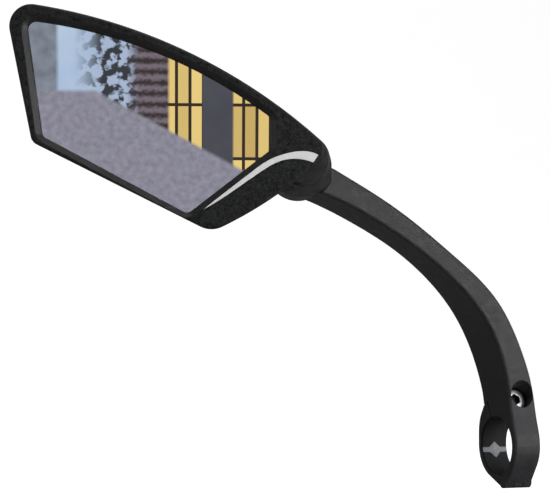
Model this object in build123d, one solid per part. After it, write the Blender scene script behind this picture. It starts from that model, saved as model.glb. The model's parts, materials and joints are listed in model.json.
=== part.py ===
"""Handlebar mirror: hinged bar clamp, curved arm, ball joint and framed mirror head.

Frame: origin at the centre of the clamp bore, X along the handlebar (-X outboard),
-Y towards the rider, +Z up.  All lengths in millimetres, all angles in degrees.
The head is built in its own frame (x across, y into the head, z up, ball centre at
the origin) and then turned and moved to the ball centre.
"""
import os
from math import acos, atan2, cos, degrees, hypot, radians, sin

from build123d import *

# ---- bar clamp ----
BAR_RADIUS = 11.1            # standard 22.2 mm handlebar
LINER_THICKNESS = 0.6
CLAMP_RADIUS = 14.2          # outside of the arm's half
STRAP_RADIUS = 13.4          # outside of the strap's half
CLAMP_WIDTH = 12.0           # along the bar
LINER_WIDTH = 11.0
SEAT_RADIUS = BAR_RADIUS + LINER_THICKNESS
HALF_CLAMP = CLAMP_WIDTH / 2

# ---- strap hinge, in the Y-Z plane ----
HINGE_Y = -4.5
HINGE_Z = -14.4
PIN_RADIUS = 1.1
PIN_FIT = 0.04
PIN_START = -5.0             # the pin goes in from the +X side
PIN_RECESS = 0.2
KNUCKLE_RADIUS = 2.4
KNUCKLE_CLEARANCE = 0.3
KNUCKLE_HALF = 2.0           # half width of the strap's middle knuckle
KNUCKLE_GAP = 0.25
STRAP_ROOT_ANGLE = -98.0     # ends of the two halves, from +Y towards +Z
ARM_ROOT_ANGLE = -102.0
LINER_TIP_ANGLE = 68.5
LINER_GAP_ANGLE = 3.0
PAD_Z = -2.2                 # grip pad: a band with a diamond in the middle
PAD_DEPTH = 0.35
PAD_BAND_HEIGHT = 2.0
PAD_HALF_WIDTH = 3.6
PAD_HALF_HEIGHT = 3.2

# ---- clamp bolt, M4 with a wide socket head, and its counterbore ----
BOLT_TILT = 23.0             # the bolt runs forward and down
BOLT_MOUTH_Y = -10.4
BOLT_MOUTH_Z = 20.6
BOLT_HEAD_DEPTH = 5.6        # head top below the mouth, along the bolt
BOLT_HEAD_RADIUS = 4.4
BOLT_HEAD_LENGTH = 4.0
BOLT_SHANK_RADIUS = 2.0
BOLT_SHANK_LENGTH = 10.8
BOLT_SOCKET_AF = 4.0
BOLT_SOCKET_DEPTH = 2.2
COUNTERBORE_RADIUS = 5.1
BOLT_HOLE_RADIUS = 2.3
WASHER_RADIUS = 4.8
WASHER_THICKNESS = 0.8
INSERT_RADIUS = 2.6
INSERT_BORE_RADIUS = 2.25
INSERT_END = 20.2            # the threaded insert runs from the lug's face to here
STRAP_HOLE_RADIUS = 2.4
STRAP_HOLE_END = 21.4
LUG_START = 17.0             # the strap's lug begins here, along the bolt
LUG_RISE = 3.1               # top of the lug above the bolt axis
LUG_TOP = (9.1, 15.7)        # outside of the lug, seen along the bar
LUG_SHOULDER = (12.0, 10.9)
LUG_DROP = 12.0              # bottom of the lug's space below the bolt axis
SPLIT_GAP = 0.5

# ---- arm: its two edges seen along Y, and its front edge seen along the bar ----
ARM_HALF_DEPTH = 10.0
ARM_EDGE_RADIUS = 1.2
ARM_LONG_EDGE = 60.0         # edges longer than this are rounded
ARM_OUTER_EDGE = [(6.0, 14.0), (5.6, 21.0), (0.8, 37.5), (-10.4, 57.8), (-31.0, 75.8),
                  (-62.9, 96.8), (-79.8, 105.4), (-94.0, 110.8)]
ARM_INNER_EDGE = [(-94.0, 98.6), (-82.7, 95.2), (-63.8, 86.9), (-35.4, 69.2), (-17.0, 51.0),
                  (-8.4, 33.0), (-6.1, 22.0), (-6.0, 14.0)]
ARM_FRONT_EDGE = [(10.0, 17.0), (12.4, 32.0), (13.0, 46.0), (10.4, 64.0), (8.2, 80.0), (9.8, 95.0)]
ARM_TOP = 125.0
REAR_FOOT_Z = 20.0           # above this the rear face is upright

# ---- ball joint; distances along the stud are from the ball centre ----
BALL_X = -98.9
BALL_Y = -17.5
BALL_Z = 107.5
STUD_AZIMUTH = -19.5
HEAD_AZIMUTH = -21.0
BALL_RADIUS = 6.0
CUP_CLEARANCE = 0.06
CUP_WALL = 1.1
SOCKET_CLEARANCE = 0.06
LIP_ANGLE = 59.0             # socket opening, half angle about the stud
NECK_RADIUS = 2.6
FLANGE_START = 11.0
FLANGE_THICKNESS = 1.2
FLANGE_AF = 10.0
BOSS_RADIUS = 12.0
BOSS_START = FLANGE_START + FLANGE_THICKNESS
BOSS_END = 26.0
RELIEF_RADIUS = 13.2
SHANK_RADIUS = 3.0
SHANK_FIT = 0.05
POCKET_RADIUS = 6.6
POCKET_START = 19.0
STUD_WASHER_RADIUS = 6.0
STUD_WASHER_THICKNESS = 1.0
STUD_NUT_AF = 10.0
STUD_NUT_THICKNESS = 4.6
CAP_THICKNESS = 1.2

# ---- mirror head, in its own frame ----
HEAD_ELEVATION = -6.0
FACE_Y = -16.6               # front of the bezel
LIP_THICKNESS = 1.8
GLASS_THICKNESS = 2.0
SILVER_THICKNESS = 0.2
TAPE_THICKNESS = 1.0
CARRIER_THICKNESS = 1.5
PARTING_Y = -11.2            # bezel meets the rear housing here
SHELL_SECTIONS = [(0.0, 0.3), (3.2, 1.2), (6.4, 4.4), (8.6, 11.0)]   # depth behind the parting, inset
BACK_Y = PARTING_Y + SHELL_SECTIONS[-1][0]
SHELL_WALL = 1.6
SOCKET_FLARE_RADIUS = 12.0
SOCKET_FLARE_DEPTH = 8.0
SHELL_CORNER_RADIUS = 2.5
BEZEL_WALL = 1.6
GLASS_BEVEL = 2.0
GLASS_LAP = 0.6              # the glass runs this far under the lip
GLASS_FIT = 0.15
BEZEL_CORNERS = [(-108.7, 56.4), (9.2, 3.6), (-34.1, -26.5), (-98.6, 5.6)]
BEZEL_CORNER_RADII = [8.0, 5.0, 9.0, 4.0]
BEZEL_TOP_MID = (-45.2, 39.7)
BEZEL_LOWER_MID = (-11.1, -13.5)
GLASS_CORNERS = [(-100.8, 49.6), (-12.6, 15.2), (-12.6, 3.4), (-42.6, -19.9), (-95.0, 7.9)]
GLASS_CORNER_RADII = [3.0, 3.0, 2.5, 2.5, 2.0]
GLASS_TOP_MID = (-54.2, 38.3)
STRIPE_TIP = (-37.0, -18.4)
STRIPE_UPPER = [(-31.5, -14.0), (-26.0, -9.7), (-20.2, -5.2), (-13.4, -0.4), (-7.0, 2.0), (-1.0, 2.9)]
STRIPE_END_TOP = (4.6, 1.6)
STRIPE_END_BOTTOM = (2.7, -1.2)
STRIPE_LOWER = [(-3.4, 0.1), (-9.4, -0.8), (-15.6, -4.2), (-22.5, -9.0), (-30.0, -14.2)]
STRIPE_THICKNESS = 0.8
STRIPE_PROUD = 0.15
SOCKET_RADIUS = 9.8
SOCKET_NOSE_RADIUS = 8.6
SOCKET_STEP_Y = -5.5
SOCKET_BACK_Y = 3.9
SOCKET_CHAMFER = 0.7
PLATE_FRONT_Y = -9.1
PLATE_BACK_Y = -4.6
PLATE_HOLE_RADIUS = 3.0
SPRING_RADII = (4.0, 6.9)
SPRING_THICKNESS = 0.4
RETAINER_BACK_Y = -10.0
RETAINER_HOLE_RADIUS = 2.5
SCREW_PLACES = [(-29.5, -16.0), (-14.0, -8.5), (-7.6, 11.4)]
SCREW_RADIUS = 1.0
SCREW_HEAD_RADIUS = 1.9
SCREW_HEAD_LENGTH = 1.5
SCREW_SEAT_Y = -7.5
SCREW_BOSS_RADIUS = 2.1

CUP_INNER = BALL_RADIUS + CUP_CLEARANCE
CUP_OUTER = CUP_INNER + CUP_WALL
SOCKET_INNER = CUP_OUTER + SOCKET_CLEARANCE
LIP_BACK_Y = FACE_Y + LIP_THICKNESS
GLASS_BACK_Y = LIP_BACK_Y + GLASS_THICKNESS
SILVER_BACK_Y = GLASS_BACK_Y + SILVER_THICKNESS
TAPE_BACK_Y = SILVER_BACK_Y + TAPE_THICKNESS


# ---------------------------------------------------------------- helpers
def plane_yz(x):
    """Sketch plane with local x along +Y and local y along +Z, facing +X, at this X."""
    return Plane(origin=(x, 0, 0), x_dir=(0, 1, 0), z_dir=(1, 0, 0))


def plane_xz(y):
    """Sketch plane with local x along +X and local y along +Z, facing -Y, at this Y."""
    return Plane(origin=(0, y, 0), x_dir=(1, 0, 0), z_dir=(0, -1, 0))


def along_x(sketch, x0, x1):
    """A sketch drawn in Y-Z made solid from x0 to x1."""
    return extrude(plane_yz(x0) * sketch, amount=x1 - x0)


def along_y(sketch, y0, y1, taper=0.0):
    """A sketch drawn in X-Z made solid from y0 back to y1."""
    return extrude(plane_xz(y0) * sketch, amount=-(y1 - y0), taper=taper)


def rod_x(radius, x0, x1, y=0.0, z=0.0):
    """A round bar along X."""
    return along_x(Pos(y, z) * Circle(radius), x0, x1)


def rod_y(radius, y0, y1, x=0.0, z=0.0):
    """A round bar along Y."""
    return along_y(Pos(x, z) * Circle(radius), y0, y1)


def polar(radius, angle):
    """A point at this radius and angle."""
    return (radius * cos(radians(angle)), radius * sin(radians(angle)))


def ring_sector(inner, outer, start, end):
    """A ring sector between two angles, anticlockwise from start to end."""
    middle = (start + end) / 2
    outer_arc = ThreePointArc(polar(outer, start), polar(outer, middle), polar(outer, end))
    inner_arc = ThreePointArc(polar(inner, end), polar(inner, middle), polar(inner, start))
    sides = [Line(outer_arc @ 1, inner_arc @ 0), Line(inner_arc @ 1, outer_arc @ 0)]
    return make_face([outer_arc, sides[0], inner_arc, sides[1]])


def rounded(face, corners, radii):
    """A closed outline with the vertex nearest each corner rounded to its own radius."""
    for corner, radius in zip(corners, radii):
        vertex = face.vertices().sort_by_distance(Vector(*corner, 0))[0]
        face = fillet(vertex, radius)
    return face


# ---------------------------------------------------------------- stud and bolt axes
STUD_PLACE = Pos(BALL_X, BALL_Y, BALL_Z) * Rot(Z=STUD_AZIMUTH)
NUT_START = POCKET_START + STUD_WASHER_THICKNESS
NUT_END = NUT_START + STUD_NUT_THICKNESS
BOLT_AXIS = Vector(0, cos(radians(BOLT_TILT)), -sin(radians(BOLT_TILT)))
BOLT_MOUTH = Vector(0, BOLT_MOUTH_Y, BOLT_MOUTH_Z)
HEAD_TOP = BOLT_HEAD_DEPTH
HEAD_SEAT = HEAD_TOP + BOLT_HEAD_LENGTH
WASHER_SEAT = HEAD_SEAT + WASHER_THICKNESS


def on_stud(sketch, start, end):
    """A sketch made solid along the stud, between two distances behind the ball centre."""
    return STUD_PLACE * along_y(sketch, start, end)


def bolt_plane(distance):
    """Plane square to the bolt, this far in from the mouth."""
    return Plane(origin=BOLT_MOUTH + BOLT_AXIS * distance, x_dir=(1, 0, 0), z_dir=BOLT_AXIS)


def on_bolt(sketch, start, end):
    """A sketch made solid along the bolt axis between two distances from the mouth."""
    return extrude(bolt_plane(start) * sketch, amount=end - start)


# ---------------------------------------------------------------- arm side
def knuckle_tangent_angle():
    """Angle of the outside line that touches both the clamp and the knuckle, at the rear."""
    spacing = hypot(HINGE_Y, HINGE_Z)
    direction = degrees(atan2(HINGE_Z, HINGE_Y))
    return 360 + direction - degrees(acos((CLAMP_RADIUS - KNUCKLE_RADIUS) / spacing))


def knuckle_point(angle):
    """A point on the outside of the knuckle."""
    across, up = polar(KNUCKLE_RADIUS, angle)
    return (HINGE_Y + across, HINGE_Z + up)


def arm_side_profile():
    """The arm seen along the bar: bar above, rear half of the clamp below."""
    half = ARM_HALF_DEPTH
    touch = knuckle_tangent_angle()
    root = ThreePointArc((-CLAMP_RADIUS, 0), polar(CLAMP_RADIUS, (180 + touch) / 2), polar(CLAMP_RADIUS, touch))
    heel = Line(root @ 1, knuckle_point(touch))
    sole = ThreePointArc(heel @ 1, knuckle_point((touch + 270) / 2), knuckle_point(270))
    toe = Line(sole @ 1, (HINGE_Y, HINGE_Z + KNUCKLE_RADIUS))
    inner = Line(toe @ 1, polar(SEAT_RADIUS - 2, ARM_ROOT_ANGLE))
    across = Line(inner @ 1, (LUG_TOP[0] - 3.0, 0))
    notch = Line(across @ 1, ARM_FRONT_EDGE[0])
    front = Spline(ARM_FRONT_EDGE, tangents=[(0.25, 1), (0.05, 1)])
    rise = Line(front @ 1, (ARM_FRONT_EDGE[-1][0], ARM_TOP))
    top = Line(rise @ 1, (-half, ARM_TOP))
    rear = Line(top @ 1, (-half, REAR_FOOT_Z + 6.0))
    lean = Spline([rear @ 1, (-half - 1.9, 11.0), root @ 0], tangents=[(0, -1), (0, -1)])
    return make_face([root, heel, sole, toe, inner, across, notch, front, rise, top, rear, lean])


def arm_front_profile():
    """The arm seen along Y: straight root, long curve, and the two edges drawing together."""
    outer = Spline(ARM_OUTER_EDGE, tangents=[(0, 1), (-1, 0.35)])
    end = Line(outer @ 1, ARM_INNER_EDGE[0])
    inner = Spline(ARM_INNER_EDGE, tangents=[(1, -0.25), (0, -1)])
    left = Line(inner @ 1, (-HALF_CLAMP, -20))
    foot = Line(left @ 1, (HALF_CLAMP, -20))
    right = Line(foot @ 1, outer @ 0)
    return make_face([outer, end, inner, left, foot, right])


def make_blade():
    """The arm's curved bar, with its long edges rounded."""
    blade = along_y(arm_front_profile(), -CLAMP_RADIUS - 1, CLAMP_RADIUS + 1)
    blade &= along_x(arm_side_profile(), -130, 20)
    long_edges = [edge for edge in blade.edges() if edge.length > ARM_LONG_EDGE]
    return fillet(long_edges, ARM_EDGE_RADIUS)


def make_arm():
    """Moulded arm with its end boss, clamp half, counterbore and stud pocket."""
    arm = make_blade()
    arm -= on_stud(Circle(RELIEF_RADIUS), 0, BOSS_START)
    arm += on_stud(Circle(BOSS_RADIUS), BOSS_START, BOSS_END)
    arm -= rod_x(SEAT_RADIUS, -20, 20)
    # two knuckles, the slot between them for the strap's, and the pin hole
    arm += rod_x(KNUCKLE_RADIUS, -HALF_CLAMP, HALF_CLAMP, HINGE_Y, HINGE_Z)
    slot_half = KNUCKLE_HALF + KNUCKLE_GAP
    arm -= rod_x(KNUCKLE_RADIUS + KNUCKLE_CLEARANCE, -slot_half, slot_half, HINGE_Y, HINGE_Z)
    arm -= rod_x(PIN_RADIUS + PIN_FIT, PIN_START, 20, HINGE_Y, HINGE_Z)
    # bolt counterbore, clearance hole and the face that the strap closes on
    arm -= on_bolt(Circle(COUNTERBORE_RADIUS), -12, WASHER_SEAT)
    arm -= on_bolt(Circle(BOLT_HOLE_RADIUS), WASHER_SEAT - 1, INSERT_END)
    arm -= lug_space()
    # stud hole and nut pocket
    arm -= on_stud(Circle(SHANK_RADIUS + SHANK_FIT), 0, BOSS_END + 10)
    arm -= on_stud(Circle(POCKET_RADIUS), POCKET_START, BOSS_END + 10)
    return arm


def bolt_point(distance, rise):
    """A point seen along the bar: this far along the bolt and this far above its axis."""
    point = BOLT_MOUTH + BOLT_AXIS * distance
    tilt = radians(BOLT_TILT)
    return (point.Y + rise * sin(tilt), point.Z + rise * cos(tilt))


def lug_space():
    """Clear space for the strap's lug: bounded by the arm's closing face and the lug's top."""
    start = LUG_START - SPLIT_GAP
    rise = LUG_RISE + SPLIT_GAP
    end = start + CLAMP_RADIUS
    corners = [bolt_point(start, rise), bolt_point(end, rise), bolt_point(end, -LUG_DROP), bolt_point(start, -LUG_DROP)]
    return along_x(make_face(Polyline(*corners, close=True)), -20, 20)


def strap_side_profile():
    """The strap seen along the bar: nut lug, thin round front, straight run to the knuckle."""
    start = 4.0
    run = -63.0
    outer = Spline([LUG_TOP, LUG_SHOULDER, polar(STRAP_RADIUS, start)], tangents=[(0.6, -1), (0, -1)])
    front = ThreePointArc(outer @ 1, polar(STRAP_RADIUS, (start + run) / 2), polar(STRAP_RADIUS, run))
    sole = Line(front @ 1, (HINGE_Y, HINGE_Z - KNUCKLE_RADIUS))
    toe = Line(sole @ 1, (HINGE_Y, HINGE_Z))
    root = Line(toe @ 1, polar(SEAT_RADIUS, STRAP_ROOT_ANGLE))
    inner = Line(root @ 1, bolt_point(LUG_START, -LUG_DROP))
    back = Line(inner @ 1, bolt_point(LUG_START, LUG_RISE))
    top = Line(back @ 1, LUG_TOP)
    return make_face([outer, front, sole, toe, root, inner, back, top])


def make_strap():
    """Front half of the clamp, from the middle knuckle up to the nut lug."""
    strap = along_x(strap_side_profile(), -HALF_CLAMP, HALF_CLAMP)
    strap += rod_x(KNUCKLE_RADIUS, -KNUCKLE_HALF, KNUCKLE_HALF, HINGE_Y, HINGE_Z)
    strap -= rod_x(SEAT_RADIUS, -20, 20)
    for side in (-1, 1):
        x0, x1 = sorted((side * KNUCKLE_HALF, side * 20))
        strap -= rod_x(KNUCKLE_RADIUS + KNUCKLE_CLEARANCE, x0, x1, HINGE_Y, HINGE_Z)
    strap -= rod_x(PIN_RADIUS + PIN_FIT, -20, 20, HINGE_Y, HINGE_Z)
    strap -= on_bolt(Circle(INSERT_RADIUS), 0, INSERT_END)
    strap -= on_bolt(Circle(STRAP_HOLE_RADIUS), 0, STRAP_HOLE_END)
    return strap


def make_liner(start, end):
    """A thin liner half against the clamp seat."""
    return along_x(ring_sector(BAR_RADIUS, SEAT_RADIUS, start, end), -LINER_WIDTH / 2, LINER_WIDTH / 2)


def make_grip_pad():
    """A thin band with a diamond in the middle, let into the strap liner."""
    band = Pos(0, PAD_Z) * Rectangle(LINER_WIDTH, PAD_BAND_HEIGHT)
    tips = [(-PAD_HALF_WIDTH, 0), (0, -PAD_HALF_HEIGHT), (PAD_HALF_WIDTH, 0), (0, PAD_HALF_HEIGHT)]
    diamond = Pos(0, PAD_Z) * make_face(Polyline(*tips, close=True))
    outline = along_y(band + diamond, 0, CLAMP_RADIUS)
    return outline & along_x(ring_sector(BAR_RADIUS, BAR_RADIUS + PAD_DEPTH, -45, 45), -HALF_CLAMP, HALF_CLAMP)


def make_clamp_bolt():
    """M4 socket head screw."""
    bolt = on_bolt(Circle(BOLT_HEAD_RADIUS), HEAD_TOP, HEAD_SEAT)
    rim = bolt.edges().filter_by(GeomType.CIRCLE).group_by(Axis(BOLT_MOUTH, BOLT_AXIS))[0]
    bolt = chamfer(rim, 0.5)
    bolt += on_bolt(Circle(BOLT_SHANK_RADIUS), HEAD_SEAT, HEAD_SEAT + BOLT_SHANK_LENGTH)
    socket = RegularPolygon(BOLT_SOCKET_AF / 2, 6, major_radius=False)
    return bolt - on_bolt(socket, HEAD_TOP, HEAD_TOP + BOLT_SOCKET_DEPTH)


def make_bolt_washer():
    """Plain washer under the bolt head."""
    ring = Circle(WASHER_RADIUS) - Circle(BOLT_SHANK_RADIUS + 0.2)
    return on_bolt(ring, HEAD_SEAT, WASHER_SEAT)


def make_thread_insert():
    """Threaded insert moulded into the strap's lug, flush with its closing face."""
    return on_bolt(Circle(INSERT_RADIUS) - Circle(INSERT_BORE_RADIUS), LUG_START, INSERT_END)


def make_hinge_pin():
    """Straight pin through both knuckles."""
    return rod_x(PIN_RADIUS, PIN_START, HALF_CLAMP - PIN_RECESS, HINGE_Y, HINGE_Z)


# ---------------------------------------------------------------- ball stud side
def make_ball_stud():
    """Ball, neck, hexagon flange and threaded shank in one turned piece."""
    stud = STUD_PLACE * Sphere(BALL_RADIUS)
    stud += on_stud(Circle(NECK_RADIUS), 0, BOSS_START)
    stud += on_stud(RegularPolygon(FLANGE_AF / 2, 6, major_radius=False), FLANGE_START, BOSS_START)
    stud += on_stud(Circle(SHANK_RADIUS), BOSS_START, NUT_END - 0.3)
    return stud


def make_stud_washer():
    """Friction washer under the stud nut."""
    ring = Circle(STUD_WASHER_RADIUS) - Circle(SHANK_RADIUS + 0.2)
    return on_stud(ring, POCKET_START, NUT_START)


def make_stud_nut():
    """Hexagon lock nut on the stud's shank."""
    hexagon = RegularPolygon(STUD_NUT_AF / 2, 6, major_radius=False)
    return on_stud(hexagon - Circle(SHANK_RADIUS), NUT_START, NUT_END)


def make_arm_cap():
    """Press-in cap that closes the nut pocket."""
    return on_stud(Circle(POCKET_RADIUS - 0.05), BOSS_END - CAP_THICKNESS, BOSS_END)


# ---------------------------------------------------------------- head
def bezel_outline(inset=0.0):
    """Outline of the head, drawn in by an inset: two bowed edges, two straight ones, round corners."""
    top_left, right_tip, bottom, bottom_left = BEZEL_CORNERS
    edges = [ThreePointArc(top_left, BEZEL_TOP_MID, right_tip),
             ThreePointArc(right_tip, BEZEL_LOWER_MID, bottom),
             Line(bottom, bottom_left),
             Line(bottom_left, top_left)]
    sharp = make_face(edges)
    if inset:
        sharp = offset(sharp, amount=-inset, kind=Kind.INTERSECTION)
    radii = [max(radius - inset, SHELL_CORNER_RADIUS) for radius in BEZEL_CORNER_RADII]
    return rounded(sharp, BEZEL_CORNERS, radii)


def glass_outline():
    """Visible outline of the mirror: a bowed top edge and four straight ones."""
    corners = GLASS_CORNERS
    edges = [ThreePointArc(corners[0], GLASS_TOP_MID, corners[1])]
    for first, second in zip(corners[1:], corners[2:] + corners[:1]):
        edges.append(Line(first, second))
    return rounded(make_face(edges), corners, GLASS_CORNER_RADII)


def stripe_outline():
    """Accent stripe: a point that widens along the glass and bends towards the tip."""
    upper = Spline([STRIPE_TIP, *STRIPE_UPPER, STRIPE_END_TOP])
    end = Line(STRIPE_END_TOP, STRIPE_END_BOTTOM)
    lower = Spline([STRIPE_END_BOTTOM, *STRIPE_LOWER, STRIPE_TIP])
    return make_face([upper, end, lower])


def shrink(face, distance):
    """The outline drawn in by a distance, or let out if it is negative."""
    return offset(face, amount=-distance)


def screw_rods(radius, y0, y1):
    """A round bar along Y at each housing screw."""
    rods = [rod_y(radius, y0, y1, x, z) for x, z in SCREW_PLACES]
    return Part() + rods


def housing_body(wall):
    """The rear shell's form, or its hollow when a wall is given: a side that curls into the back."""
    sections = []
    for depth, inset in SHELL_SECTIONS:
        back = min(depth, BACK_Y - PARTING_Y - wall)
        sections.append(plane_xz(PARTING_Y + back) * bezel_outline(inset + wall))
    return loft(sections)


def socket_bore():
    """Space for the cup: a bore from the front, a spherical seat, and the lip's flared opening behind."""
    mid_angle = radians((90.0 + LIP_ANGLE) / 2)
    lip_x = SOCKET_INNER * sin(radians(LIP_ANGLE))
    lip_y = SOCKET_INNER * cos(radians(LIP_ANGLE))
    front = Line((0, LIP_BACK_Y - 5), (SOCKET_INNER, LIP_BACK_Y - 5))
    bore = Line(front @ 1, (SOCKET_INNER, 0))
    seat = ThreePointArc(bore @ 1, (SOCKET_INNER * sin(mid_angle), SOCKET_INNER * cos(mid_angle)), (lip_x, lip_y))
    flare = Line(seat @ 1, (SOCKET_FLARE_RADIUS, lip_y + SOCKET_FLARE_DEPTH))
    back = Line(flare @ 1, (0, lip_y + SOCKET_FLARE_DEPTH))
    axis = Line(back @ 1, front @ 0)
    return revolve(make_face([front, bore, seat, flare, back, axis]), Axis.Y)


def make_socket():
    """Tubular socket: a slimmer nose under the bezel, then the full collar with chamfered ends."""
    collar = rod_y(SOCKET_RADIUS, SOCKET_STEP_Y, SOCKET_BACK_Y)
    rims = collar.edges().filter_by(GeomType.CIRCLE)
    return chamfer(rims, SOCKET_CHAMFER) + rod_y(SOCKET_NOSE_RADIUS, PARTING_Y, SOCKET_STEP_Y + 1)


def make_housing_shell():
    """Hollow rear shell with the socket for the ball joint."""
    body = housing_body(0.0)
    bosses = screw_rods(SCREW_HEAD_RADIUS + 1.4, PARTING_Y, BACK_Y) & body
    shell = body - housing_body(SHELL_WALL) + bosses + make_socket() - socket_bore()
    shell -= screw_rods(SCREW_RADIUS + 0.15, -20, 5)
    shell -= screw_rods(SCREW_HEAD_RADIUS + 0.2, SCREW_SEAT_Y, 5)
    return shell


def make_bezel():
    """Front frame: bevelled lip round the glass, wing at the joint end, side wall."""
    outline = bezel_outline()
    opening = plane_xz(LIP_BACK_Y) * glass_outline()
    mouth = plane_xz(FACE_Y - 0.001) * shrink(glass_outline(), -GLASS_BEVEL)
    face = along_y(outline, FACE_Y, LIP_BACK_Y)
    rim = face.faces().sort_by(Axis.Y)[0].outer_wire().edges()
    face = fillet(rim, 1.1)
    face -= loft([mouth, opening])
    wall = along_y(outline - bezel_outline(BEZEL_WALL), LIP_BACK_Y, PARTING_Y)
    bezel = face + wall
    bezel += screw_rods(SCREW_BOSS_RADIUS, LIP_BACK_Y, PARTING_Y) & along_y(outline, FACE_Y, PARTING_Y)
    bezel -= along_y(shrink(glass_outline(), -GLASS_LAP - GLASS_FIT), LIP_BACK_Y, TAPE_BACK_Y + CARRIER_THICKNESS)
    bezel -= along_y(stripe_outline(), FACE_Y - 1, FACE_Y + STRIPE_THICKNESS - STRIPE_PROUD)
    bezel -= screw_rods(SCREW_RADIUS, LIP_BACK_Y + 0.6, 5)
    return bezel


def make_glass_layer(y0, y1, edge):
    """A sheet of the glass stack, drawn in from the full glass by an edge distance."""
    return along_y(shrink(glass_outline(), edge - GLASS_LAP), y0, y1)


def make_accent_stripe():
    """Inlaid stripe on the wing."""
    y0 = FACE_Y - STRIPE_PROUD
    return along_y(stripe_outline(), y0, y0 + STRIPE_THICKNESS)


def make_bezel_gasket():
    """Seal between the bezel and the rear housing."""
    ring = bezel_outline(0.6) - bezel_outline(1.6)
    return along_y(ring, PARTING_Y - 0.6, PARTING_Y)


def make_friction_cup():
    """Plastic cup round the ball, open where the stud comes out."""
    cup = Sphere(CUP_OUTER) - Sphere(CUP_INNER)
    cut_y = CUP_OUTER * cos(radians(LIP_ANGLE))
    cup -= Pos(0, cut_y + 10, 0) * Box(40, 20, 40)
    return cup


def make_pressure_plate():
    """Dished ring that the spring pushes onto the cup."""
    plate = rod_y(SOCKET_INNER - SOCKET_CLEARANCE, PLATE_FRONT_Y, PLATE_BACK_Y)
    plate -= Sphere(SOCKET_INNER)
    return plate - rod_y(PLATE_HOLE_RADIUS, -20, 0)


def make_disc_spring():
    """Coned disc spring between the plate and its retainer."""
    inner, outer = SPRING_RADII
    low = PLATE_FRONT_Y
    high = RETAINER_BACK_Y
    thick = SPRING_THICKNESS
    section = Polyline((inner, low), (outer, high + thick), (outer, high), (inner, low - thick), close=True)
    return revolve(make_face(section), Axis.Y)


def make_spring_retainer():
    """Threaded ring that closes the socket, with two holes for a pin spanner."""
    ring = rod_y(SOCKET_INNER, PARTING_Y, RETAINER_BACK_Y) - rod_y(RETAINER_HOLE_RADIUS, -20, 0)
    for side in (-1, 1):
        ring -= rod_y(0.8, -20, 0, side * 5.0, 0)
    return ring


def make_housing_screws():
    """Pan head screws from behind, as a group of separate solids."""
    head_back = SCREW_SEAT_Y + SCREW_HEAD_LENGTH
    screws = screw_rods(SCREW_HEAD_RADIUS, SCREW_SEAT_Y, head_back)
    screws += screw_rods(SCREW_RADIUS, LIP_BACK_Y + 0.8, SCREW_SEAT_Y)
    recess = RegularPolygon(0.9, 6, major_radius=False)
    for x, z in SCREW_PLACES:
        screws -= along_y(Pos(x, z) * recess, head_back - 0.8, head_back + 1)
    return screws


HEAD_PLACE = Pos(BALL_X, BALL_Y, BALL_Z) * Rot(Z=HEAD_AZIMUTH) * Rot(X=-HEAD_ELEVATION)


def head_parts():
    """Every piece of the head, in the head's own frame."""
    carrier_back = TAPE_BACK_Y + CARRIER_THICKNESS
    return {
        "housing_shell": make_housing_shell(),
        "bezel": make_bezel() - make_bezel_gasket(),
        "bezel_gasket": make_bezel_gasket(),
        "mirror_glass": make_glass_layer(LIP_BACK_Y, GLASS_BACK_Y, 0.0),
        "mirror_silvering": make_glass_layer(GLASS_BACK_Y, SILVER_BACK_Y, 0.6),
        "foam_tape": make_glass_layer(SILVER_BACK_Y, TAPE_BACK_Y, 2.0),
        "glass_carrier": make_glass_layer(TAPE_BACK_Y, carrier_back, 0.4),
        "accent_stripe": make_accent_stripe(),
        "friction_cup": make_friction_cup(),
        "pressure_plate": make_pressure_plate(),
        "disc_spring": make_disc_spring(),
        "spring_retainer": make_spring_retainer(),
        "housing_screws": make_housing_screws(),
    }


def all_parts():
    """Every node of the mirror, in place."""
    arm_liner_start = LINER_TIP_ANGLE + LINER_GAP_ANGLE
    arm_liner_end = 360 + ARM_ROOT_ANGLE - LINER_GAP_ANGLE
    grip_pad = make_grip_pad()
    parts = {
        "arm": make_arm(),
        "arm_liner": make_liner(arm_liner_start, arm_liner_end),
        "strap": make_strap(),
        "strap_liner": make_liner(STRAP_ROOT_ANGLE + 1, LINER_TIP_ANGLE) - grip_pad,
        "grip_pad": grip_pad,
        "hinge_pin": make_hinge_pin(),
        "clamp_bolt": make_clamp_bolt(),
        "bolt_washer": make_bolt_washer(),
        "thread_insert": make_thread_insert(),
        "ball_stud": make_ball_stud(),
        "stud_washer": make_stud_washer(),
        "stud_nut": make_stud_nut(),
        "arm_cap": make_arm_cap(),
    }
    for name, part in head_parts().items():
        parts[name] = HEAD_PLACE * part
    return parts


os.makedirs("parts", exist_ok=True)
for node, shape in all_parts().items():
    shape.label = node
    export_step(shape, f"parts/{node}.step")
    print(node, round(shape.volume, 1))
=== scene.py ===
"""Handlebar mirror: finishes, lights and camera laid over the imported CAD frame.

Lengths are metres in the row frame, unless a docstring says millimetres. The origin is the
centre of the clamp bore, X runs along the handlebar, -Y points to the rider and +Z is up.
"""

import json
import logging
import math
from dataclasses import dataclass
from enum import IntEnum

import bpy
import numpy as np
from mathutils import Matrix, Vector


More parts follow.
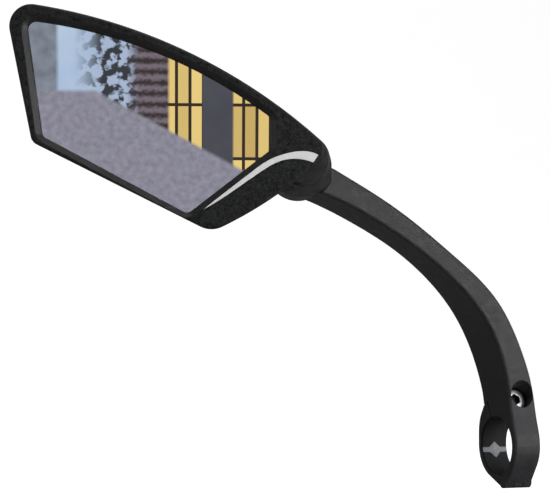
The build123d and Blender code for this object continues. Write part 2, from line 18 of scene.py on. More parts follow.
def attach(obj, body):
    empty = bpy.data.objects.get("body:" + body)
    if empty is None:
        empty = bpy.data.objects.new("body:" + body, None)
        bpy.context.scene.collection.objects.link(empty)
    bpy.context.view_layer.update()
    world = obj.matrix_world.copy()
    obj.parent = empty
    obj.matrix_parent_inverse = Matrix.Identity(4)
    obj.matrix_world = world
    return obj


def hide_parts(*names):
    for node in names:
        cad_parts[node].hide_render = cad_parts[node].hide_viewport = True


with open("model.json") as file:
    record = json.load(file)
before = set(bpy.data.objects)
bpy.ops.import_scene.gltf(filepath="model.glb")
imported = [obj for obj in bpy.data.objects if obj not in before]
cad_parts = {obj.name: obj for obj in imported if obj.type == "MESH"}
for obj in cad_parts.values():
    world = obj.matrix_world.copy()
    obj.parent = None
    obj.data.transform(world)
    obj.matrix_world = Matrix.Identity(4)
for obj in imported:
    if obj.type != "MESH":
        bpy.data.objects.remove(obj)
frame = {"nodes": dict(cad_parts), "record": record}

MM = 0.001
LOG = logging.getLogger("bike_mirror")

Socket = bpy.types.NodeSocket
Span = tuple[float, float]
Triple = tuple[float, float, float]
Colour = Triple

UNIT: Span = (0.0, 1.0)
REVERSED: Span = (1.0, 0.0)
MIDDLE: Span = (0.3, 0.7)

BALL = np.array([-98.9, -17.5, 107.5]) * MM
HEAD_AZIMUTH = math.radians(-21.0)
HEAD_LIFT = math.radians(6.0)
HEAD_INWARD = np.array([
    -math.sin(HEAD_AZIMUTH) * math.cos(HEAD_LIFT),
    math.cos(HEAD_AZIMUTH) * math.cos(HEAD_LIFT),
    math.sin(HEAD_LIFT),
])

# Depths from the ball centre along the head's inward axis. The silvering starts a hair
# inside the glass, so that the two faces don't lie in one plane.
LIP_FROM = -16.3 * MM
GLASS_FRONT = -14.8 * MM
GLASS_BACK = -12.8 * MM
SILVER_FRONT = -12.81 * MM
SILVER_BACK = -12.6 * MM

WORLD_TONE: Colour = (1.0, 1.0, 1.0)
WORLD_STRENGTH = 0.21


def put_in_scene(name: str, data: bpy.types.ID) -> bpy.types.Object:
    """Makes an object and links it to the scene.

    Args:
        name: the object's name.
        data: its mesh, light or camera.

    Returns:
        The object.
    """
    obj = bpy.data.objects.new(name, data)
    bpy.context.scene.collection.objects.link(obj)
    return obj


def read_vectors(items: bpy.types.bpy_prop_collection, attribute: str) -> np.ndarray:
    """Reads a vector from every vertex or face of a mesh.

    Args:
        items: the mesh's vertices or polygons.
        attribute: "co", "normal" or "center".

    Returns:
        One row of three numbers for each item.
    """
    flat = np.empty(len(items) * 3)
    items.foreach_get(attribute, flat)
    return flat.reshape(-1, 3)


def drop_custom_normals(mesh: bpy.types.Mesh) -> None:
    """Removes stored corner normals, so that the shading follows the faces.

    Args:
        mesh: the mesh.
    """
    normals = mesh.attributes.get("custom_normal")
    if normals is not None:
        mesh.attributes.remove(normals)


class NodeGraph:
    """A material's node tree, with short calls for adding and joining nodes."""

    def __init__(self, name: str) -> None:
        """Starts an empty material.

        Args:
            name: the material's name.
        """
        self.material = bpy.data.materials.new(name)
        self.material.use_nodes = True
        self.tree = self.material.node_tree
        self.tree.nodes.clear()
        self.output = self.tree.nodes.new("ShaderNodeOutputMaterial")

    def add(self, kind: str, **settings: object) -> bpy.types.Node:
        """Adds one node.

        Args:
            kind: the node type after "ShaderNode".
            **settings: properties of the node itself, such as operation.

        Returns:
            The new node.
        """
        node = self.tree.nodes.new("ShaderNode" + kind)
        for key, value in settings.items():
            setattr(node, key, value)
        return node

    def link(self, source: Socket, target: Socket) -> None:
        """Joins an output socket to an input socket."""
        self.tree.links.new(source, target)

    def coordinates(self, scale: Triple = (1.0, 1.0, 1.0)) -> Socket:
        """Object coordinates, stretched.

        Args:
            scale: multiplier along each axis.

        Returns:
            The vector socket.
        """
        place = self.add("TexCoord")
        mapping = self.add("Mapping")
        mapping.inputs["Scale"].default_value = scale
        self.link(place.outputs["Object"], mapping.inputs["Vector"])
        return mapping.outputs["Vector"]

    def noise(self, vector: Socket, feature: float, detail: float) -> Socket:
        """Fractal noise.

        Args:
            vector: where it is read.
            feature: size of one blotch.
            detail: octaves.

        Returns:
            The factor socket, 0 to 1.
        """
        node = self.add("TexNoise")
        node.inputs["Scale"].default_value = 1.0 / feature
        node.inputs["Detail"].default_value = detail
        self.link(vector, node.inputs["Vector"])
        return node.outputs["Fac"]

    def remap(self, value: Socket, result: Span, source: Span = MIDDLE) -> Socket:
        """Stretches a factor from one range to another and holds it at both ends.

        Args:
            value: the factor.
            result: what the two ends of the source range become.
            source: the range of the factor that is stretched.

        Returns:
            The remapped socket.
        """
        node = self.add("MapRange")
        node.inputs["From Min"].default_value = source[0]
        node.inputs["From Max"].default_value = source[1]
        node.inputs["To Min"].default_value = result[0]
        node.inputs["To Max"].default_value = result[1]
        self.link(value, node.inputs["Value"])
        return node.outputs["Result"]

    def maths(self, operation: str, value: Socket, number: float) -> bpy.types.Node:
        """Adds a maths node whose second input is a number.

        Args:
            operation: the node's operation.
            value: its first input.
            number: its second input.

        Returns:
            The node, whose third input is still free.
        """
        node = self.add("Math", operation=operation)
        node.inputs[1].default_value = number
        self.link(value, node.inputs[0])
        return node

    def mix(self, factor: Socket) -> tuple[Socket, Socket, Socket]:
        """Adds a colour mix.

        Args:
            factor: how far the result has gone from the first colour to the second.

        Returns:
            The inputs for the two colours, and the result.
        """
        node = self.add("Mix", data_type="RGBA")
        self.link(factor, node.inputs["Factor"])
        first, second = [socket for socket in node.inputs if socket.type == "RGBA"]
        result = next(socket for socket in node.outputs if socket.type == "RGBA")
        return first, second, result

    def blend(self, factor: Socket, first: Colour, second: Colour) -> Socket:
        """Mixes two fixed colours.

        Args:
            factor: 0 gives first, 1 gives second.
            first: linear colour.
            second: linear colour.

        Returns:
            The colour socket.
        """
        first_input, second_input, result = self.mix(factor)
        first_input.default_value = (*first, 1.0)
        second_input.default_value = (*second, 1.0)
        return result

    def over(self, under: Socket, top: Socket, mask: Socket) -> Socket:
        """Lays one colour over another.

        Args:
            under: the colour where the mask is 0.
            top: the colour where the mask is 1.
            mask: the factor.

        Returns:
            The colour socket.
        """
        under_input, top_input, result = self.mix(mask)
        self.link(under, under_input)
        self.link(top, top_input)
        return result

    def bump(self, height: Socket, depth: float, strength: float, edge: float = 0.0) -> Socket:
        """Surface relief from a height.

        Args:
            height: the height factor.
            depth: the rise from factor 0 to factor 1.
            strength: how much of it shows.
            edge: radius of the softened edges, or 0 for none.

        Returns:
            The normal socket.
        """
        node = self.add("Bump")
        node.inputs["Distance"].default_value = depth
        node.inputs["Strength"].default_value = strength
        self.link(height, node.inputs["Height"])
        if edge > 0:
            soft = self.add("Bevel", samples=4)
            soft.inputs["Radius"].default_value = edge
            self.link(soft.outputs["Normal"], node.inputs["Normal"])
        return node.outputs["Normal"]

    def surface(self, shader: Socket) -> bpy.types.Material:
        """Ends the material with this shader and returns it."""
        self.link(shader, self.output.inputs["Surface"])
        return self.material


@dataclass(frozen=True)
class Grained:
    """Moulded plastic or rubber with a fine grain and faint blotches."""

    name: str
    dark: Colour
    light: Colour
    roughness: Span
    grain: float = 0.35 * MM
    grain_detail: float = 3.0
    grain_share: float = 0.6
    blotch: float = 3.0 * MM
    blotch_detail: float = 5.0
    blotch_share: float = 0.4
    tones: Span = (0.36, 0.64)
    relief: float = 0.05 * MM
    strength: float = 0.35
    edge: float = 0.25 * MM
    specular: float = 0.4

    def build(self) -> bpy.types.Material:
        """Makes the material: grain and blotches drive colour, roughness and relief.

        Returns:
            The material.
        """
        graph = NodeGraph(self.name)
        where = graph.coordinates()
        grain = graph.noise(where, self.grain, self.grain_detail)
        blotch = graph.noise(where, self.blotch, self.blotch_detail)
        both = graph.maths("MULTIPLY_ADD", grain, self.grain_share)
        shade = graph.maths("MULTIPLY", blotch, self.blotch_share)
        graph.link(shade.outputs[0], both.inputs[2])
        colour = graph.blend(graph.remap(both.outputs[0], UNIT, self.tones), self.dark, self.light)
        normal = graph.bump(grain, self.relief, self.strength, self.edge)
        shader = graph.add("BsdfPrincipled")
        shader.inputs["Specular IOR Level"].default_value = self.specular
        graph.link(colour, shader.inputs["Base Color"])
        graph.link(graph.remap(blotch, self.roughness), shader.inputs["Roughness"])
        graph.link(normal, shader.inputs["Normal"])
        return graph.surface(shader.outputs["BSDF"])


@dataclass(frozen=True)
class Metal:
    """Plated or brushed steel with fine tool marks along one axis."""

    name: str
    dark: Colour
    light: Colour
    roughness: Span
    stretch: Triple = (1.0, 1.0, 1.0)
    mark: float = 0.25 * MM
    mark_detail: float = 3.0
    relief: float = 0.01 * MM
    strength: float = 0.3
    edge: float = 0.1 * MM

    def build(self) -> bpy.types.Material:
        """Makes the material: stretched noise gives the marks.

        Returns:
            The material.
        """
        graph = NodeGraph(self.name)
        marks = graph.noise(graph.coordinates(self.stretch), self.mark, self.mark_detail)
        colour = graph.blend(graph.remap(marks, UNIT), self.dark, self.light)
        normal = graph.bump(marks, self.relief, self.strength, self.edge)
        shader = graph.add("BsdfPrincipled")
        shader.inputs["Metallic"].default_value = 1.0
        graph.link(colour, shader.inputs["Base Color"])
        graph.link(graph.remap(marks, self.roughness), shader.inputs["Roughness"])
        graph.link(normal, shader.inputs["Normal"])
        return graph.surface(shader.outputs["BSDF"])


@dataclass(frozen=True)
class MirrorFilm:
    """Silver film with a barely uneven tint."""

    name: str
    first: Colour
    second: Colour
    drift: float = 30 * MM
    drift_detail: float = 2.0

    def build(self) -> bpy.types.Material:
        """Makes the material: a smooth metal whose tint drifts by a percent.

        Returns:
            The material.
        """
        graph = NodeGraph(self.name)
        drift = graph.noise(graph.coordinates(), self.drift, self.drift_detail)
        shader = graph.add("BsdfPrincipled")
        shader.inputs["Metallic"].default_value = 1.0
        shader.inputs["Roughness"].default_value = 0.0
        graph.link(graph.blend(drift, self.first, self.second), shader.inputs["Base Color"])
        return graph.surface(shader.outputs["BSDF"])


@dataclass(frozen=True)
class ClearGlass:
    """Float glass with a trace of green and the faintest wipe marks."""

    name: str
    tint: Colour
    clear: Colour
    stretch: Triple = (1.0, 1.0, 4.0)
    wipe: float = 12 * MM
    wipe_detail: float = 3.0
    roughness: Span = (0.0, 0.012)
    wiped: Span = (0.5, 0.9)
    refraction: float = 1.5

    def build(self) -> bpy.types.Material:
        """Makes the material: transmitting shader with roughness from stretched noise.

        Returns:
            The material.
        """
        graph = NodeGraph(self.name)
        wipes = graph.noise(graph.coordinates(self.stretch), self.wipe, self.wipe_detail)
        rough = graph.remap(wipes, self.roughness, self.wiped)
        shader = graph.add("BsdfPrincipled")
        shader.inputs["Transmission Weight"].default_value = 1.0
        shader.inputs["IOR"].default_value = self.refraction
        graph.link(graph.blend(wipes, self.tint, self.clear), shader.inputs["Base Color"])
        graph.link(rough, shader.inputs["Roughness"])
        return graph.surface(shader.outputs["BSDF"])


@dataclass(frozen=True)
class Foam:
    """Foam tape with open cells."""

    name: str
    dark: Colour
    light: Colour
    cell: float = 0.6 * MM
    walls: Span = (0.1, 0.6)
    roughness: float = 0.9
    relief: float = 0.2 * MM
    strength: float = 0.6

    def build(self) -> bpy.types.Material:
        """Makes the material: a cell pattern gives colour and relief.

        Returns:
            The material.
        """
        graph = NodeGraph(self.name)
        cells = graph.add("TexVoronoi")
        cells.inputs["Scale"].default_value = 1.0 / self.cell
        graph.link(graph.coordinates(), cells.inputs["Vector"])
        distance = cells.outputs["Distance"]
        colour = graph.blend(graph.remap(distance, UNIT, self.walls), self.dark, self.light)
        shader = graph.add("BsdfPrincipled")
        shader.inputs["Roughness"].default_value = self.roughness
        graph.link(colour, shader.inputs["Base Color"])
        graph.link(graph.bump(distance, self.relief, self.strength), shader.inputs["Normal"])
        return graph.surface(shader.outputs["BSDF"])


@dataclass(frozen=True)
class Paper:
    """Backdrop paper: a mid grey that the camera alone sees glowing."""

    name: str
    dark: Colour = (0.26, 0.26, 0.26)
    light: Colour = (0.30, 0.30, 0.30)
    fibre: float = 0.02
    fibre_detail: float = 3.0
    roughness: float = 0.9
    glow: float = 0.9

    def build(self) -> bpy.types.Material:
        """Makes the material: the glow is switched by whether the ray left the camera.

        Returns:
            The material.
        """
        graph = NodeGraph(self.name)
        fibres = graph.noise(graph.coordinates(), self.fibre, self.fibre_detail)
        path = graph.add("LightPath")
        glow = graph.remap(path.outputs["Is Camera Ray"], (0.0, self.glow), UNIT)
        shader = graph.add("BsdfPrincipled")
        shader.inputs["Roughness"].default_value = self.roughness
        shader.inputs["Specular IOR Level"].default_value = 0.0
        shader.inputs["Emission Color"].default_value = (1.0, 1.0, 1.0, 1.0)
        graph.link(glow, shader.inputs["Emission Strength"])
        graph.link(graph.blend(fibres, self.dark, self.light), shader.inputs["Base Color"])
        return graph.surface(shader.outputs["BSDF"])


@dataclass(frozen=True)
class Patch:
    """One noisy area of the street picture, in two colours."""

    feature: float
    detail: float
    first: Colour
    second: Colour
    contrast: Span = UNIT

    def paint(self, graph: NodeGraph, where: Socket) -> Socket:
        """Adds the patch to a material.

        Args:
            graph: the material's nodes.
            where: the coordinates it is read at.

        Returns:
            The colour socket.
        """
        factor = graph.noise(where, self.feature, self.detail)
        return graph.blend(graph.remap(factor, UNIT, self.contrast), self.first, self.second)


@dataclass(frozen=True)
class Street:
    """An out-of-focus street: pavement below, with sky, trees, buildings and windows above.

    The picture lies in the card's own X and Y. Each edge is the stretch of X over which
    one area gives way to the next, from the right to the left.
    """

    name: str
    stones: Patch = Patch(0.006, 6.0, (0.16, 0.15, 0.19), (0.40, 0.38, 0.46))
    sky: Patch = Patch(0.05, 3.0, (0.34, 0.47, 0.70), (0.60, 0.68, 0.80))
    trees: Patch = Patch(0.009, 8.0, (0.05, 0.05, 0.06), (0.42, 0.50, 0.66), (0.46, 0.54))
    flats: Patch = Patch(0.012, 6.0, (0.10, 0.11, 0.14), (0.34, 0.37, 0.44))
    pillar: Patch = Patch(0.03, 2.0, (0.06, 0.06, 0.075), (0.10, 0.10, 0.12))
    flats_edge: Span = (0.112, 0.116)
    trees_edge: Span = (0.072, 0.098)
    block_edge: Span = (0.036, 0.048)
    windows_edge: Span = (0.006, 0.009)
    pillar_edge: Span = (-0.026, -0.024)
    far_windows_edge: Span = (-0.056, -0.054)
    kerb_corner: float = 0.078
    kerb_slope: float = -0.536
    kerb_edge: Span = (-0.031, -0.027)
    band_scale: float = 30.0
    band_waver: float = 2.0
    band_detail: float = 8.0
    block_dark: Colour = (0.05, 0.035, 0.04)
    block_light: Colour = (0.20, 0.16, 0.19)
    pane_bright: Colour = (0.90, 0.66, 0.24)
    pane_dim: Colour = (0.62, 0.42, 0.14)
    frame_tone: Colour = (0.04, 0.03, 0.025)
    frame_width: float = 0.0016
    pane_width: float = 0.013
    pane_height: float = 0.052

    def block(self, graph: NodeGraph, where: Socket) -> Socket:
        """A building with wavering level bands.

        Args:
            graph: the material's nodes.
            where: the coordinates it is read at.

        Returns:
            The colour socket.
        """
        bands = graph.add("TexWave", bands_direction="Y")
        bands.inputs["Scale"].default_value = self.band_scale
        bands.inputs["Distortion"].default_value = self.band_waver
        bands.inputs["Detail Scale"].default_value = self.band_detail
        graph.link(where, bands.inputs["Vector"])
        return graph.blend(bands.outputs["Fac"], self.block_dark, self.block_light)

    def windows(self, graph: NodeGraph, where: Socket) -> Socket:
        """Tall lit panes in dark frames, in level rows.

        Args:
            graph: the material's nodes.
            where: the coordinates it is read at.

        Returns:
            The colour socket.
        """
        panes = graph.add("TexBrick", offset=0.0)
        panes.inputs["Color1"].default_value = (*self.pane_bright, 1.0)
        panes.inputs["Color2"].default_value = (*self.pane_dim, 1.0)
        panes.inputs["Mortar"].default_value = (*self.frame_tone, 1.0)
        panes.inputs["Scale"].default_value = 1.0
        panes.inputs["Mortar Size"].default_value = self.frame_width
        panes.inputs["Brick Width"].default_value = self.pane_width
        panes.inputs["Row Height"].default_value = self.pane_height
        graph.link(where, panes.inputs["Vector"])
        return panes.outputs["Color"]

    def kerb(self, graph: NodeGraph, across: Socket, height: Socket) -> Socket:
        """How far a point is above the kerb, which climbs up to the corner and is then level.

        Args:
            graph: the material's nodes.
            across: the picture's X.
            height: the picture's Y.

        Returns:
            The mask: 0 on the pavement, 1 above it.
        """
        near_side = graph.maths("MINIMUM", across, self.kerb_corner)
        rise = graph.maths("MULTIPLY_ADD", near_side.outputs[0], self.kerb_slope)
        graph.link(height, rise.inputs[2])
        return graph.remap(rise.outputs[0], UNIT, self.kerb_edge)

    def build(self) -> bpy.types.Material:
        """Makes the material: the areas are laid over the sky from right to left.

        Returns:
            The glowing material.
        """
        graph = NodeGraph(self.name)
        where = graph.coordinates()
        split = graph.add("SeparateXYZ")
        graph.link(where, split.inputs[0])
        across, height = split.outputs["X"], split.outputs["Y"]
        windows = self.windows(graph, where)
        layers = [
            (self.trees.paint(graph, where), REVERSED, self.trees_edge),
            (self.flats.paint(graph, where), UNIT, self.flats_edge),
            (self.block(graph, where), REVERSED, self.block_edge),
            (windows, REVERSED, self.windows_edge),
            (self.pillar.paint(graph, where), REVERSED, self.pillar_edge),
            (windows, REVERSED, self.far_windows_edge),
        ]
        view = self.sky.paint(graph, where)
        for layer, side, edge in layers:
            view = graph.over(view, layer, graph.remap(across, side, edge))
        stones = self.stones.paint(graph, where)
        glow = graph.add("Emission")
        graph.link(graph.over(stones, view, self.kerb(graph, across, height)), glow.inputs["Color"])
        return graph.surface(glow.outputs["Emission"])


class Finishes:
    """Every finish of the object, built once and shared."""

    def __init__(self) -> None:
        """Builds the materials by slot name."""
        kinds = {
            "matte_black": Grained(
                "moulded_black", (0.006, 0.006, 0.007), (0.022, 0.022, 0.024),
                roughness=(0.52, 0.68), specular=0.22,
            ),
            "bezel_black": Grained(
                "textured_black", (0.0008, 0.0009, 0.001), (0.018, 0.019, 0.020),
                roughness=(0.50, 0.68), blotch=1.8 * MM, grain=0.75 * MM, relief=0.10 * MM,
                strength=0.5, specular=0.12,
            ),
            "bezel_lip": Grained(
                "satin_black", (0.006, 0.006, 0.007), (0.014, 0.014, 0.015),
                roughness=(0.42, 0.52), relief=0.02 * MM, specular=0.25,
            ),
            "rubber_black": Grained(
                "rubber_black", (0.006, 0.006, 0.007), (0.013, 0.013, 0.014),
                roughness=(0.75, 0.92), specular=0.25,
            ),
            "rubber_grey": Grained(
                "rubber_grey", (0.10, 0.11, 0.12), (0.20, 0.21, 0.22),
                roughness=(0.6, 0.8), blotch=1.5 * MM,
            ),
            "white_inlay": Grained(
                "white_inlay", (0.50, 0.50, 0.51), (0.58, 0.58, 0.58),
                roughness=(0.30, 0.42), relief=0.01 * MM,
            ),
            "acetal": Grained(
                "acetal", (0.55, 0.54, 0.50), (0.66, 0.65, 0.61),
                roughness=(0.35, 0.5), relief=0.02 * MM,
            ),
            "black_steel": Metal(
                "plated_steel", (0.55, 0.55, 0.56), (0.74, 0.74, 0.75),
                roughness=(0.34, 0.5), stretch=(1.0, 1.0, 6.0),
            ),
            "black_oxide": Metal(
                "black_oxide", (0.02, 0.02, 0.022), (0.05, 0.05, 0.055),
                roughness=(0.35, 0.5),
            ),
            "chrome_steel": Metal(
                "bright_steel", (0.78, 0.78, 0.79), (0.92, 0.92, 0.93),
                roughness=(0.34, 0.48),
            ),
            "brass": Metal(
                "turned_brass", (0.50, 0.36, 0.14), (0.62, 0.46, 0.20),
                roughness=(0.25, 0.4),
            ),
            "silver": MirrorFilm("silver_film", (0.93, 0.94, 0.95), (0.95, 0.95, 0.96)),
            "clear_glass": ClearGlass("clear_glass", (0.94, 0.985, 0.97), (0.99, 1.0, 1.0)),
            "foam": Foam("foam_tape", (0.02, 0.02, 0.022), (0.09, 0.09, 0.095)),
        }
        self.materials = {slot: kind.build() for slot, kind in kinds.items()}

    def paint(self, obj: bpy.types.Object, slot: str) -> None:
        """Gives an object one finish over all its faces.

        Args:
            obj: a mesh object.
            slot: the finish's key.
        """
        obj.data.materials.clear()
        obj.data.materials.append(self.materials[slot])
        index = np.zeros(len(obj.data.polygons), dtype=np.int32)
        obj.data.polygons.foreach_set("material_index", index)


@dataclass
class CadPieces:
    """The CAD nodes that are shown as they are, with smooth shading and a finish each.

    The lip is the bezel's bevel round the glass. Its lean is the cosine of the angle
    between a face's normal and the rider's side of the head, 22 to 70 degrees.
    """

    finishes: Finishes
    crease_deg: float = 32.0
    textured: tuple[str, ...] = ("bezel",)
    flat: tuple[str, ...] = ("foam_tape", "glass_carrier")
    lip_lean: Span = (0.35, 0.93)

    def build(self) -> list[str]:
        """Paints every CAD node from its material slot.

        Returns:
            The names of the nodes.
        """
        slots = {part["node"]: part["material_slot"] for part in frame["record"]["subparts"]}
        for name, obj in frame["nodes"].items():
            slot = "bezel_black" if name in self.textured else slots[name]
            self.finishes.paint(obj, slot)
            drop_custom_normals(obj.data)
            if name in self.flat:
                obj.data.shade_flat()
                continue
            obj.data.shade_smooth()
            obj.data.set_sharp_from_angle(angle=math.radians(self.crease_deg))
        self.paint_lip()
        return sorted(frame["nodes"])

    def paint_lip(self) -> None:
        """Gives the bezel's lip a smoother finish than the rest of the bezel."""
        mesh = frame["nodes"]["bezel"].data
        lean = read_vectors(mesh.polygons, "normal") @ -HEAD_INWARD
        depth = (read_vectors(mesh.polygons, "center") - BALL) @ HEAD_INWARD
        least, most = self.lip_lean
        lip = (lean > least) & (lean < most) & (depth > LIP_FROM)
        mesh.materials.append(self.finishes.materials["bezel_lip"])
        mesh.polygons.foreach_set("material_index", lip.astype(np.int32))


@dataclass
class FlatSheet:
    """A sheet of the glass stack, with both faces exactly flat so that it reflects straight.

    The front and back are depths from the ball centre along the head's inward axis.
    """

    finishes: Finishes
    node: str
    finish: str
    front: float
    back: float

    def build(self) -> bpy.types.Object:
        """Makes the sheet from the CAD outline and lets it stand for the CAD node.

        Each vertex slides along the head's inward axis to whichever face, front or
        back, it is nearer to.

        Returns:
            The sheet.
        """
        mesh = frame["nodes"][self.node].data.copy()
        mesh.name = self.node + "_sheet"
        points = read_vectors(mesh.vertices, "co")
        depth = (points - BALL) @ HEAD_INWARD
        middle = (self.front + self.back) / 2
        wanted = np.where(depth < middle, self.front, self.back)
        points += (wanted - depth)[:, None] * HEAD_INWARD
        mesh.vertices.foreach_set("co", points.reshape(-1))
        drop_custom_normals(mesh)
        mesh.shade_flat()
        mesh.update()
        sheet = put_in_scene(mesh.name, mesh)
        self.finishes.paint(sheet, self.finish)
        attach(sheet, "head_body")
        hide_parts(self.node)
        return sheet


class Ring(IntEnum):
    """The outline of one ring of the screw."""

    ROUND = 0
    HEXAGON = 1
    KNURLED = 2
    THREADED = 3


@dataclass
class ClampScrew:
    """Socket head screw of the bar clamp: knurled head, hexagon socket, threaded shank.

    Its sizes are millimetres. The mouth is where the screw's axis leaves the arm.
    """

    finishes: Finishes
    mouth: Triple = (0.0, -10.4, 20.6)
    tilt_deg: float = 23.0
    head_top: float = 5.6
    head_radius: float = 4.4
    head_length: float = 4.0
    chamfer: float = 0.5
    chamfer_swell: float = 0.3
    foot_height: float = 0.2
    foot_taper: float = 0.1
    socket_flats: float = 4.0
    socket_depth: float = 2.2
    socket_break: float = 0.12
    # Rings of quads inside the socket that get the dark finish as painted shade.
    shaded_socket_rings: int = 2
    shank_radius: float = 2.0
    shank_length: float = 10.8
    pitch: float = 0.7
    thread_depth: float = 0.3
    thread_start: float = 0.2
    thread_stop: float = 0.4
    tip_height: float = 0.3
    tip_taper: float = 0.5
    knurls: int = 36
    knurl_depth: float = 0.16
    segments: int = 216
    rings_per_turn: int = 10
    crease_deg: float = 38.0

    def stations(self) -> tuple[np.ndarray, np.ndarray, np.ndarray]:
        """Rings down the screw, from the socket's floor out over the head to the tip.

        Returns:
            Distance from the head's top, plain radius, and the ring's outline.
        """
        head, foot, chamfer = self.head_radius, self.head_length, self.chamfer
        flat, shank, brk = self.socket_flats / 2, self.shank_radius, self.socket_break
        tip = foot + self.shank_length
        top_rows = [
            (self.socket_depth, flat / 2, Ring.HEXAGON),
            (self.socket_depth, flat, Ring.HEXAGON),
            (brk, flat, Ring.HEXAGON),
            (0.0, flat + brk, Ring.HEXAGON),
            (0.0, head - chamfer, Ring.ROUND),
            (chamfer / 2, head - chamfer * self.chamfer_swell, Ring.ROUND),
            (chamfer, head, Ring.KNURLED),
            (foot - self.foot_height, head, Ring.KNURLED),
            (foot, head - self.foot_taper, Ring.ROUND),
            (foot, shank, Ring.ROUND),
        ]
        length = self.shank_length - self.thread_start - self.thread_stop
        turns = int(self.rings_per_turn * length / self.pitch)
        along = np.linspace(foot + self.thread_start, tip - self.thread_stop, turns)
        tip_rows = [
            (tip - self.tip_height, shank - self.thread_depth, Ring.ROUND),
            (tip, shank - self.tip_taper, Ring.ROUND),
        ]
        rows = np.array(top_rows + [(z, shank, Ring.THREADED) for z in along] + tip_rows)
        return rows[:, 0], rows[:, 1], rows[:, 2]

    def surface(self) -> tuple[np.ndarray, np.ndarray]:
        """The whole skin as one grid.

        A ring's radius is its plain radius, changed by its outline: on the hexagon it is
        the flat's distance over the cosine of the angle from that flat; on the knurl a
        cosine ripple is taken off; on the thread a triangle wave is taken off whose
        phase is height over pitch minus the turn.

        Returns:
            Vertices in the screw's own axes, and quads that face outwards.
        """
        height, radius, outline = self.stations()
        turn = np.linspace(0.0, 2 * np.pi, self.segments, endpoint=False)
        z, theta = np.meshgrid(height, turn, indexing="ij")
        plain_radius = np.broadcast_to(radius[:, None], z.shape)
        kind = np.broadcast_to(outline[:, None], z.shape)
        flat_turn = np.pi / 3
        off_flat = np.mod(theta + flat_turn / 2, flat_turn) - flat_turn / 2
        ripple = self.knurl_depth * (1 - np.cos(self.knurls * theta)) / 2
        phase = np.mod(z / self.pitch - theta / (2 * np.pi), 1.0)
        groove = self.thread_depth * np.abs(2 * phase - 1)
        r = np.where(kind == Ring.HEXAGON, plain_radius / np.cos(off_flat), plain_radius)
        r = np.where(kind == Ring.KNURLED, plain_radius - ripple, r)
        r = np.where(kind == Ring.THREADED, plain_radius - groove, r)
        points = np.stack([r * np.cos(theta), r * np.sin(theta), z], axis=-1)
        steps = np.arange(len(height) - 1), np.arange(self.segments)
        rows, here = np.meshgrid(*steps, indexing="ij")
        after = (here + 1) % self.segments
        above, below = rows * self.segments, (rows + 1) * self.segments
        quads = np.stack([below + here, below + after, above + after, above + here], axis=-1)
        return points.reshape(-1, 3), quads.reshape(-1, 4)

    def place(self, points: np.ndarray) -> np.ndarray:
        """Turns screw axes into the row frame.

        Args:
            points: vertices in millimetres, z from the head's top towards the tip.

        Returns:
            Vertices in metres.
        """
        tilt = math.radians(self.tilt_deg)
        along = np.array([0.0, math.cos(tilt), -math.sin(tilt)])
        across = np.array([1.0, 0.0, 0.0])
        up = np.cross(along, across)
        start = np.array(self.mouth) + along * self.head_top
        return (start + points @ np.stack([across, up, along])) * MM

    def build(self) -> bpy.types.Object:
        """Makes the screw, with painted shade in its socket, and lets it stand for the CAD bolt.

        Returns:
            The screw.
        """
        points, quads = self.surface()
        socket_floor = list(range(self.segments))
        tip_face = list(range(len(points) - self.segments, len(points)))[::-1]
        mesh = bpy.data.meshes.new("clamp_screw")
        mesh.from_pydata(self.place(points).tolist(), [], quads.tolist() + [socket_floor, tip_face])
        mesh.shade_smooth()
        mesh.set_sharp_from_angle(angle=math.radians(self.crease_deg))
        screw = put_in_scene("clamp_screw", mesh)
        self.finishes.paint(screw, "chrome_steel")
        # The socket's floor and walls take the dark black-oxide finish: this is painted shade in
        # the recess of a bright steel screw.
        mesh.materials.append(self.finishes.materials["black_oxide"])
        index = np.zeros(len(mesh.polygons), dtype=np.int32)
        index[: self.shaded_socket_rings * self.segments] = 1
        index[len(quads)] = 1
        mesh.polygons.foreach_set("material_index", index)
        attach(screw, "bolt_body")
        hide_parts("clamp_bolt")
        return screw


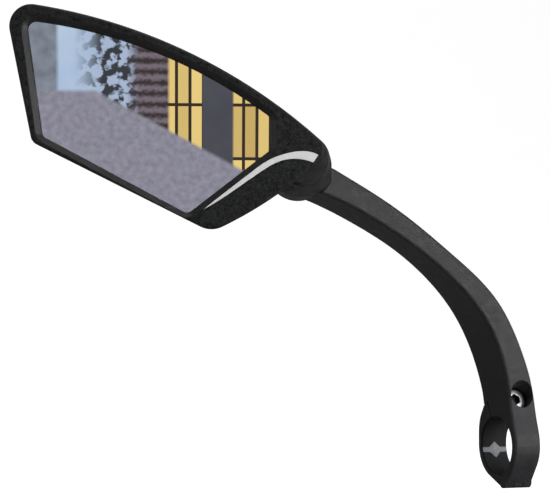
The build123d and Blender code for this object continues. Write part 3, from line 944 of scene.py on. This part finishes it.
@dataclass
class Stage:
    """Pale floor that curves up into a backdrop, with a glowing card for the glass to reflect.

    The card stands out along card_way from the middle of the glass and faces it.
    """

    floor_z: float = -0.030
    near: float = -3.0
    bend: float = 1.2
    radius: float = 1.0
    height: float = 4.0
    half_width: float = 5.0
    curve_points: int = 24
    glass: Triple = (-0.150, -0.02, 0.125)
    card_way: Triple = (-0.383, -0.924, -0.027)
    card_distance: float = 0.9
    card_width: float = 0.7
    card_height: float = 0.23

    def backdrop(self) -> bpy.types.Object:
        """The floor and wall as one bent sheet.

        Its section runs level to the bend, along a quarter circle, then straight up.

        Returns:
            The sheet.
        """
        angle = np.linspace(0.0, np.pi / 2, self.curve_points)
        wall = self.bend + self.radius
        y = np.concatenate([[self.near], self.bend + self.radius * np.sin(angle), [wall]])
        rise = np.concatenate([[0.0], self.radius * (1 - np.cos(angle)), [self.height]])
        side = np.array([-self.half_width, self.half_width])
        grid = np.broadcast_arrays(side[None, :], y[:, None], (rise + self.floor_z)[:, None])
        points = np.stack(grid, axis=-1).reshape(-1, 3)
        start = np.arange(len(y) - 1) * 2
        quads = np.stack([start, start + 1, start + 3, start + 2], axis=-1)
        mesh = bpy.data.meshes.new("backdrop")
        mesh.from_pydata(points.tolist(), [], quads.tolist())
        mesh.shade_smooth()
        mesh.materials.append(Paper("backdrop_paper").build())
        return put_in_scene("backdrop", mesh)

    def card(self) -> bpy.types.Object:
        """The upright sheet with the street picture, which only the glass shows.

        Returns:
            The sheet.
        """
        glass = Vector(self.glass)
        centre = glass + Vector(self.card_way) * self.card_distance
        look = (glass - centre).normalized()
        across = Vector((0, 0, 1)).cross(look).normalized()
        right, top = self.card_width / 2, self.card_height / 2
        corners = [(-right, -top, 0), (right, -top, 0), (right, top, 0), (-right, top, 0)]
        mesh = bpy.data.meshes.new("street_card")
        mesh.from_pydata(corners, [], [(0, 1, 2, 3)])
        mesh.materials.append(Street("street_card").build())
        sheet = put_in_scene("street_card", mesh)
        turn = Matrix((across, look.cross(across), look)).transposed().to_4x4()
        sheet.matrix_world = Matrix.Translation(centre) @ turn
        sheet.visible_camera = False
        sheet.visible_diffuse = False
        sheet.visible_shadow = False
        return sheet

    def build(self) -> list[bpy.types.Object]:
        """Returns:
            The staged objects.
        """
        made = [self.backdrop(), self.card()]
        return made


@dataclass(frozen=True)
class SoftLight:
    """One rectangular soft light."""

    name: str
    place: Triple
    target: Triple
    power: float
    width: float
    height: float

    def build(self) -> bpy.types.Object:
        """Makes the light.

        Returns:
            The light object.
        """
        data = bpy.data.lights.new(self.name, "AREA")
        data.shape = "RECTANGLE"
        data.size = self.width
        data.size_y = self.height
        data.energy = self.power
        light = put_in_scene(self.name, data)
        light.location = self.place
        away = Vector(self.place) - Vector(self.target)
        light.rotation_euler = away.to_track_quat("Z", "Y").to_euler()
        return light


HEAD_MIDDLE: Triple = (-0.08, 0.0, 0.08)
LIGHTS = (
    SoftLight("key", (-0.15, -0.9, 1.25), (-0.05, 0.0, 0.08), power=7.0, width=0.4, height=0.4),
    SoftLight("low_front", (0.34, -0.62, 0.06), (0.0, 0.0, 0.01), power=9.0, width=0.4, height=0.4),
    SoftLight("left_fill", (-0.9, -0.1, 0.12), (0.0, 0.0, 0.02), power=1.6, width=0.5, height=0.5),
    SoftLight("back_fill", (0.2, 1.3, 0.7), HEAD_MIDDLE, power=7.0, width=0.9, height=0.7),
    SoftLight("top", (-0.2, 0.1, 1.8), HEAD_MIDDLE, power=14.0, width=1.6, height=1.2),
)


@dataclass(frozen=True)
class Viewpoint:
    """Where the camera stands and looks. The lens and sensor are millimetres."""

    place: Triple = (-0.32584, -0.51806, 0.02744)
    look: Triple = (0.39404, 0.91495, 0.08716)
    lens: float = 97.4
    sensor: float = 36.0
    nearest: float = 0.01

    def build(self) -> bpy.types.Object:
        """Makes the camera the scene's own.

        Returns:
            The camera.
        """
        data = bpy.data.cameras.new("camera")
        data.lens = self.lens
        data.sensor_width = self.sensor
        data.clip_start = self.nearest
        camera = put_in_scene("camera", data)
        camera.location = self.place
        camera.rotation_euler = (-Vector(self.look)).to_track_quat("Z", "Y").to_euler()
        bpy.context.scene.camera = camera
        return camera


def set_world(tone: Colour, strength: float) -> None:
    """Lights the scene evenly from all round and sets plain tone mapping.

    Args:
        tone: linear colour.
        strength: brightness.
    """
    world = bpy.data.worlds.new("surroundings")
    world.use_nodes = True
    back = world.node_tree.nodes["Background"]
    back.inputs["Color"].default_value = (*tone, 1.0)
    back.inputs["Strength"].default_value = strength
    bpy.context.scene.world = world
    bpy.context.scene.view_settings.view_transform = "Standard"


def main() -> None:
    """Builds every piece, then the stage, lights and camera."""
    logging.basicConfig(level=logging.INFO, format="%(name)s: %(message)s")
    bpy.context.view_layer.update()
    finishes = Finishes()
    LOG.info("finishes: %d", len(finishes.materials))
    for name in CadPieces(finishes).build():
        LOG.info("CAD piece %s", name)
    pieces = [
        FlatSheet(finishes, "mirror_glass", "clear_glass", GLASS_FRONT, GLASS_BACK),
        FlatSheet(finishes, "mirror_silvering", "silver", SILVER_FRONT, SILVER_BACK),
        ClampScrew(finishes),
    ]
    for piece in pieces:
        LOG.info("piece %s", piece.build().name)
    for staged in Stage().build():
        LOG.info("stage %s", staged.name)
    for light in LIGHTS:
        LOG.info("light %s", light.build().name)
    set_world(WORLD_TONE, WORLD_STRENGTH)
    LOG.info("camera %s", Viewpoint().build().name)


if __name__ == "__main__":
    main()
